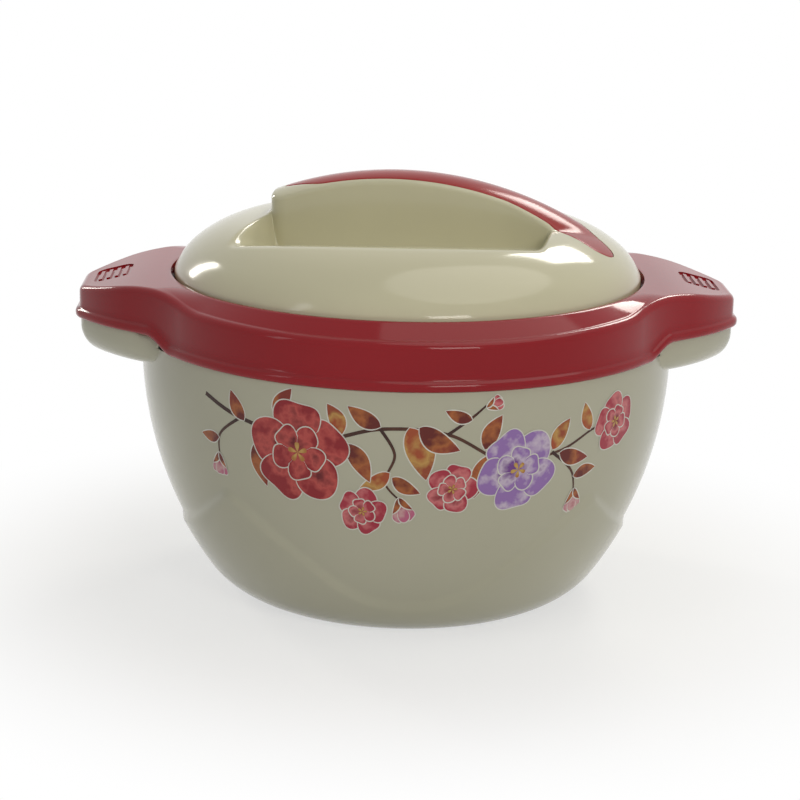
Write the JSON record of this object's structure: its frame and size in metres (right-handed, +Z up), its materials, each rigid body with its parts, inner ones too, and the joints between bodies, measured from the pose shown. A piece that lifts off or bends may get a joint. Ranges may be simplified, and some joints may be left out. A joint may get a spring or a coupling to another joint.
{
  "type": "insulated hot pot",
  "caption": "Insulated serving pot with a steel liner, a collar with two ears, and a lift-off lid with a raised handle.",
  "frame": {"origin": "on the table under the middle of the bowl", "axes": "+Z up, +X along the two ears, -Y towards the decorated front"},
  "size_m": [0.2966, 0.242, 0.1904],
  "materials": {
    "cream_plastic": "gloss",
    "red_plastic": "gloss",
    "white_plastic": "satin",
    "liner_steel": "brushed",
    "screw_steel": "plated",
    "foam": "rigid foam",
    "seal_rubber": "silicone"
  },
  "bodies": {
    "pot": {"outer_shell": "cream_plastic", "collar_ring": "red_plastic", "inner_liner": "liner_steel", "body_foam": "foam", "base_plug": "cream_plastic", "ear_screws": "screw_steel"},
    "seal": {"lid_seal": "seal_rubber"},
    "lid": {"lid_cover": "cream_plastic", "handle_insert": "red_plastic", "lid_fill_plug": "cream_plastic", "lid_foam": "foam", "lid_plate": "white_plastic"}
  },
  "joints": [
    {"name": "lid_lift", "type": "slide", "parent": "pot", "child": "seal", "axis": [0, 0, 1], "range_m": [0, 0.1]},
    {"name": "lid_turn", "type": "hinge", "parent": "seal", "child": "lid", "pos_m": [0, 0, 0.138], "axis": [0, 0, 1], "continuous": true}
  ]
}
